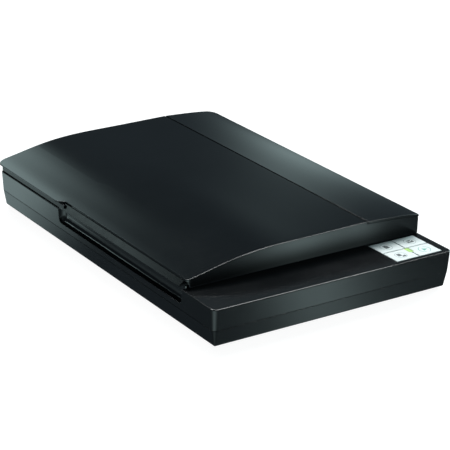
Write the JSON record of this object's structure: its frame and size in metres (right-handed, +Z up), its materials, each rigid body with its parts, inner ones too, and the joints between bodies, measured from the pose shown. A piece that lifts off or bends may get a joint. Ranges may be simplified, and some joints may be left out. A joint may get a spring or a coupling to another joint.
{
  "type": "flatbed document scanner",
  "caption": "Flatbed scanner: low black base with a glass bed, a curved hinged lid that lifts and tilts, a block of push buttons, and a belt-driven carriage inside.",
  "frame": {"origin": "middle of the footprint, on the plane that the rubber feet rest on", "axes": "+Z up, -Y to the user and the buttons, +Y to the lid hinges, +X to the right side"},
  "size_m": [0.28, 0.4299, 0.0654],
  "materials": {
    "housing_plastic": "satin black moulding with a fine grain",
    "lid_plastic": "satin black moulding, smoother than the base",
    "frame_plastic": "matt black moulding",
    "button_plastic": "pearl white, with a printed pictogram",
    "light_pipe": "lit yellow-green",
    "platen": "clear",
    "white_plastic": "matt white",
    "carriage_plastic": "matt black",
    "bearing_plastic": "natural acetal",
    "bronze": "sintered bronze",
    "pinion_brass": "machined brass",
    "steel": "ground steel",
    "motor_steel": "plated steel can",
    "foot_rubber": "matt rubber",
    "belt_rubber": "matt neoprene",
    "board": "solder mask green",
    "cable": "pale flat cable",
    "jack_plastic": "black",
    "mirror_glass": "front silvered",
    "light_guide": "clear acrylic over a white reflector"
  },
  "bodies": {
    "base": {"lower_housing": "housing_plastic", "upper_housing": "housing_plastic", "rubber_feet": "foot_rubber", "housing_screws": "steel", "platen_glass": "platen", "calibration_strip": "white_plastic", "control_bezel": "housing_plastic", "status_light": "light_pipe", "button_board": "board", "tact_switches": "steel", "main_board": "board", "board_screws": "steel", "port_board": "board", "usb_port": "steel", "dc_jack": "jack_plastic", "port_harness": "cable", "guide_rod": "steel", "rod_clips": "steel", "stepper_motor": "motor_steel", "motor_bracket": "steel", "bracket_screws": "steel", "gear_stud": "steel", "idler_bracket": "steel", "tension_spring": "steel", "drive_belt": "belt_rubber", "carriage_ribbon": "cable"},
    "carriage": {"carriage_body": "carriage_plastic", "carriage_cover": "carriage_plastic", "rod_bushings": "bronze", "glide_pads": "bearing_plastic", "light_bar": "light_guide", "mirrors": "mirror_glass", "lens_barrel": "carriage_plastic", "sensor_board": "board", "belt_clamp": "carriage_plastic"},
    "drive_gear": {"drive_gear": "bearing_plastic"},
    "motor_pinion": {"motor_pinion": "pinion_brass"},
    "idler_pulley": {"idler_pulley": "bearing_plastic"},
    "transport_lock": {"transport_lock": "frame_plastic"},
    "hinge_posts": {"hinge_post_left": "frame_plastic", "hinge_post_right": "frame_plastic"},
    "lid": {"lid_shell": "lid_plastic", "lid_side_panel": "lid_plastic", "lid_frame": "frame_plastic", "film_window": "white_plastic", "film_light_board": "board", "film_light_frame": "white_plastic", "document_mat": "white_plastic", "lid_screws": "steel", "hinge_bracket_left": "frame_plastic", "hinge_bracket_right": "frame_plastic", "hinge_pins": "steel"},
    "button_file": {"button_file": "button_plastic"},
    "button_email": {"button_email": "button_plastic"},
    "button_copy": {"button_copy": "button_plastic"},
    "button_start": {"button_start": "button_plastic"}
  },
  "joints": [
    {"name": "lid_lift", "type": "slide", "parent": "base", "child": "hinge_posts", "axis": [0, 0, 1], "range_m": [0, 0.02]},
    {"name": "lid_hinge", "type": "hinge", "parent": "hinge_posts", "child": "lid", "pos_m": [0, 0.208, 0.0526], "axis": [-1, 0, 0], "range_deg": [0, 95]},
    {"name": "carriage_slide", "type": "slide", "parent": "base", "child": "carriage", "axis": [0, -1, 0], "range_m": [0, 0.304]},
    {"name": "drive_gear_turn", "type": "hinge", "parent": "base", "child": "drive_gear", "pos_m": [0.01, -0.188, 0.0235], "axis": [0, 0, 1], "range_deg": [0, 2740]},
    {"name": "motor_pinion_turn", "type": "hinge", "parent": "base", "child": "motor_pinion", "pos_m": [-0.0125, -0.188, 0.0235], "axis": [0, 0, 1], "range_deg": [-10960, 0]},
    {"name": "idler_turn", "type": "hinge", "parent": "base", "child": "idler_pulley", "pos_m": [0.01, 0.192, 0.0135], "axis": [0, 0, 1], "range_deg": [0, 2740]},
    {"name": "transport_lock_slide", "type": "slide", "parent": "base", "child": "transport_lock", "axis": [1, 0, 0], "range_m": [0, 0.008]},
    {"name": "button_file_press", "type": "slide", "parent": "base", "child": "button_file", "axis": [0, 0, -1], "range_m": [0, 0.0008], "stiffness_N_per_m": 400, "springref_m": -0.0012},
    {"name": "button_email_press", "type": "slide", "parent": "base", "child": "button_email", "axis": [0, 0, -1], "range_m": [0, 0.0008], "stiffness_N_per_m": 400, "springref_m": -0.0012},
    {"name": "button_copy_press", "type": "slide", "parent": "base", "child": "button_copy", "axis": [0, 0, -1], "range_m": [0, 0.0008], "stiffness_N_per_m": 400, "springref_m": -0.0012},
    {"name": "button_start_press", "type": "slide", "parent": "base", "child": "button_start", "axis": [0, 0, -1], "range_m": [0, 0.0008], "stiffness_N_per_m": 400, "springref_m": -0.0012}
  ],
  "couplings": [
    {"joint": "drive_gear_turn", "follows": "carriage_slide", "rad_per_m": 157.08},
    {"joint": "idler_turn", "follows": "carriage_slide", "rad_per_m": 157.08},
    {"joint": "motor_pinion_turn", "follows": "carriage_slide", "rad_per_m": -628.32}
  ]
}
